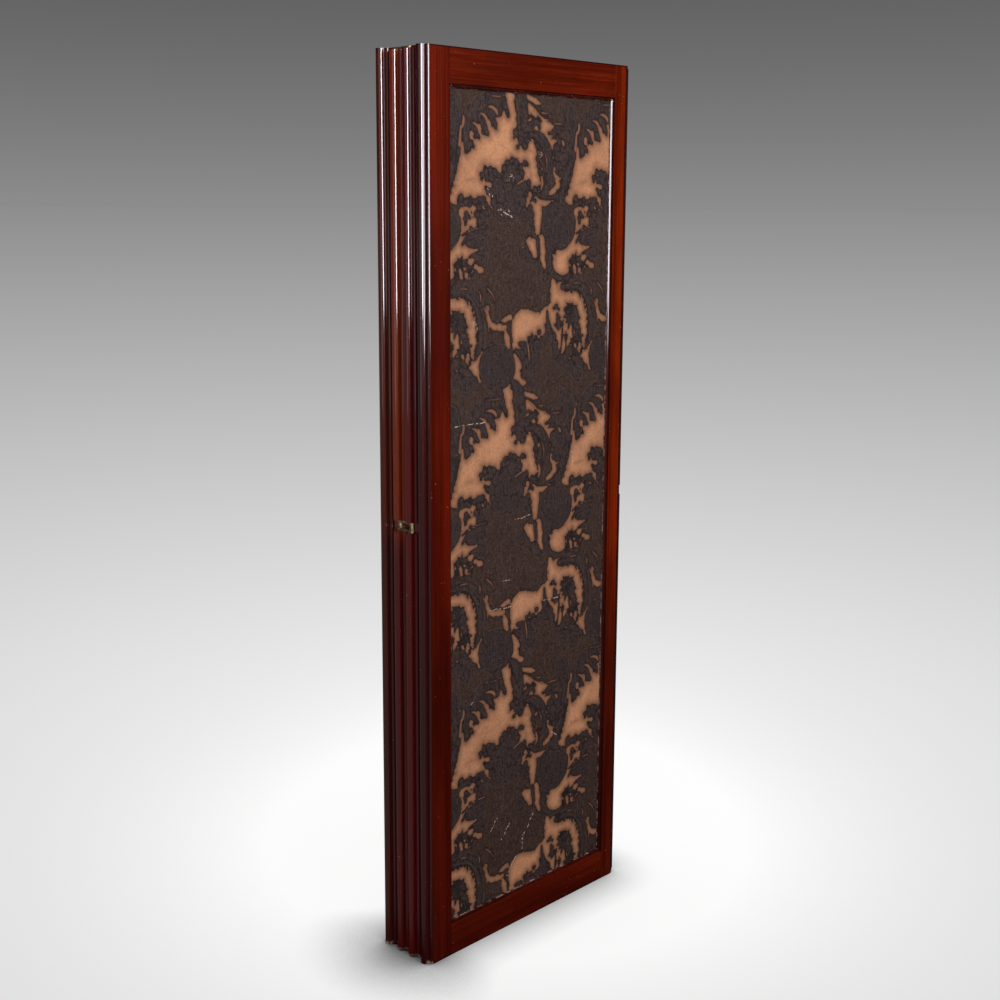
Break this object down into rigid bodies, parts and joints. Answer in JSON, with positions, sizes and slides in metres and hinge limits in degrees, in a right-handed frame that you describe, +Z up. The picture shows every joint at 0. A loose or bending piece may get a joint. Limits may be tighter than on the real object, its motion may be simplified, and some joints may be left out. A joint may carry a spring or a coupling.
{
  "type": "folding screen",
  "caption": "Folding room screen of framed, covered leaves on double-acting brass link hinges, shown folded flat and standing on its lower ends.",
  "frame": {"origin": "on the floor, in the middle of the folded stack of leaves", "axes": "+Z up along the leaves, +X along the width of the front leaf, +Y from the front leaf to the rear leaf"},
  "size_m": [0.5796, 0.1402, 1.75],
  "materials": {
    "stile_wood": "french polished mahogany, upright grain",
    "rail_wood": "french polished mahogany, level grain",
    "bead_wood": "french polished mahogany moulding",
    "board": "plain sawn pine, hidden by the covering",
    "covering": "embossed leather paper, dark scrolled ornament on a tan ground",
    "brass": "aged brass"
  },
  "bodies": {
    "leaf_1": {"hinge_12_tongue_1": "brass", "leaf_1_back_beads": "bead_wood", "leaf_1_back_covering": "covering", "leaf_1_bottom_rail": "rail_wood", "leaf_1_front_beads": "bead_wood", "leaf_1_front_covering": "covering", "leaf_1_left_stile": "stile_wood", "leaf_1_panel_board": "board", "leaf_1_right_stile": "stile_wood", "leaf_1_top_rail": "rail_wood"},
    "leaf_2": {"hinge_12_tongue_2": "brass", "hinge_23_tongue_2": "brass", "leaf_2_back_beads": "bead_wood", "leaf_2_back_covering": "covering", "leaf_2_bottom_rail": "rail_wood", "leaf_2_front_beads": "bead_wood", "leaf_2_front_covering": "covering", "leaf_2_left_stile": "stile_wood", "leaf_2_panel_board": "board", "leaf_2_right_stile": "stile_wood", "leaf_2_top_rail": "rail_wood"},
    "leaf_3": {"hinge_23_tongue_3": "brass", "hinge_34_tongue_3": "brass", "leaf_3_back_beads": "bead_wood", "leaf_3_back_covering": "covering", "leaf_3_bottom_rail": "rail_wood", "leaf_3_front_beads": "bead_wood", "leaf_3_front_covering": "covering", "leaf_3_left_stile": "stile_wood", "leaf_3_panel_board": "board", "leaf_3_right_stile": "stile_wood", "leaf_3_top_rail": "rail_wood"},
    "leaf_4": {"hinge_34_tongue_4": "brass", "leaf_4_back_beads": "bead_wood", "leaf_4_back_covering": "covering", "leaf_4_bottom_rail": "rail_wood", "leaf_4_front_beads": "bead_wood", "leaf_4_front_covering": "covering", "leaf_4_left_stile": "stile_wood", "leaf_4_panel_board": "board", "leaf_4_right_stile": "stile_wood", "leaf_4_top_rail": "rail_wood"},
    "link_12": {"hinge_12_bottom_link": "brass", "hinge_12_middle_link": "brass", "hinge_12_top_link": "brass"},
    "link_23": {"hinge_23_bottom_link": "brass", "hinge_23_middle_link": "brass", "hinge_23_top_link": "brass"},
    "link_34": {"hinge_34_bottom_link": "brass", "hinge_34_middle_link": "brass", "hinge_34_top_link": "brass"}
  },
  "joints": [
    {"name": "hinge_12_near_pivot", "type": "hinge", "parent": "leaf_1", "child": "link_12", "pos_m": [0.27472, -0.05362, 0.875], "axis": [0, 0, -1], "range_deg": [-0.16, 89.84]},
    {"name": "hinge_12_far_pivot", "type": "hinge", "parent": "link_12", "child": "leaf_2", "pos_m": [0.27481, -0.01992, 0.875], "axis": [0, 0, -1], "range_deg": [-0.16, 89.84]},
    {"name": "hinge_23_near_pivot", "type": "hinge", "parent": "leaf_2", "child": "link_23", "pos_m": [-0.27518, -0.01685, 0.875], "axis": [0, 0, 1], "range_deg": [0, 90]},
    {"name": "hinge_23_far_pivot", "type": "hinge", "parent": "link_23", "child": "leaf_3", "pos_m": [-0.27499, 0.01685, 0.875], "axis": [0, 0, 1], "range_deg": [0, 90]},
    {"name": "hinge_34_near_pivot", "type": "hinge", "parent": "leaf_3", "child": "link_34", "pos_m": [0.275, 0.01378, 0.875], "axis": [0, 0, -1], "range_deg": [-0.16, 89.84]},
    {"name": "hinge_34_far_pivot", "type": "hinge", "parent": "link_34", "child": "leaf_4", "pos_m": [0.27528, 0.04748, 0.875], "axis": [0, 0, -1], "range_deg": [-0.16, 89.84]}
  ],
  "couplings": [
    {"joint": "hinge_12_far_pivot", "follows": "hinge_12_near_pivot", "ratio": 1},
    {"joint": "hinge_23_far_pivot", "follows": "hinge_23_near_pivot", "ratio": 1},
    {"joint": "hinge_34_far_pivot", "follows": "hinge_34_near_pivot", "ratio": 1}
  ]
}
